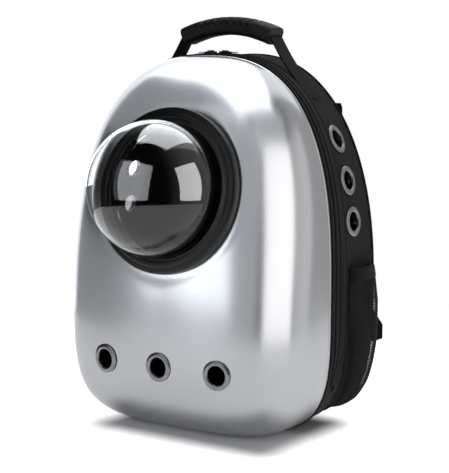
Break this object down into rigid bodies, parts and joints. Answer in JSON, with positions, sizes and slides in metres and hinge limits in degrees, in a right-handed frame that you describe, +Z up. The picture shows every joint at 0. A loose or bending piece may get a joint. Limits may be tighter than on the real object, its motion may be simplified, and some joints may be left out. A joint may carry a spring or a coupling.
{
  "type": "bubble pet carrier backpack",
  "caption": "Pet carrier backpack: crowned hard front shell with a clear bubble window, zipped to a cloth body with vent eyelets, net side pockets, a top grip and padded shoulder straps.",
  "frame": {"origin": "middle of the base's box, on the floor that the pack stands on", "axes": "+Z up, the bubble faces -Y, the wearer's back is at +Y, +X is the right side seen from the front"},
  "size_m": [0.3542, 0.3168, 0.4631],
  "materials": {
    "shell_paint": "silver metallic lacquer on moulded plastic",
    "clear_dome": "clear acrylic, glossy",
    "gloss_black": "moulded, semi-gloss",
    "eyelet_metal": "gunmetal plating, polished",
    "binding_cloth": "woven tape",
    "body_cloth": "woven polyester",
    "zip_tape": "zip tape with a nylon coil",
    "slider_metal": "black enamel",
    "back_mesh": "air mesh over padding",
    "grip_rubber": "matt moulded rubber",
    "webbing": "woven webbing",
    "pocket_mesh": "open knitted net",
    "strap_cloth": "padded, air mesh inside",
    "buckle_plastic": "moulded"
  },
  "bodies": {
    "root": {"shell": "shell_paint", "bubble_dome": "clear_dome", "bubble_bezel": "gloss_black", "front_eyelet_left": "eyelet_metal", "front_eyelet_middle": "eyelet_metal", "front_eyelet_right": "eyelet_metal", "rim_binding": "binding_cloth", "body": "body_cloth", "side_eyelet_left_1": "eyelet_metal", "side_eyelet_left_2": "eyelet_metal", "side_eyelet_left_3": "eyelet_metal", "side_eyelet_right_1": "eyelet_metal", "side_eyelet_right_2": "eyelet_metal", "side_eyelet_right_3": "eyelet_metal", "zipper": "zip_tape", "zip_slider_left": "slider_metal", "zip_slider_right": "slider_metal", "back_piping": "binding_cloth", "back_panel": "back_mesh", "back_yoke": "body_cloth", "handle_grip": "grip_rubber", "handle_strap": "webbing", "pocket_net_right": "pocket_mesh", "pocket_net_left": "pocket_mesh", "pocket_hem_right": "body_cloth", "pocket_hem_left": "body_cloth", "shoulder_strap_right": "strap_cloth", "shoulder_strap_left": "strap_cloth", "strap_adjuster_right": "buckle_plastic", "strap_adjuster_left": "buckle_plastic", "strap_webbing_right": "webbing", "strap_webbing_left": "webbing", "strap_tab_right": "body_cloth", "strap_tab_left": "body_cloth"}
  },
  "joints": []
}
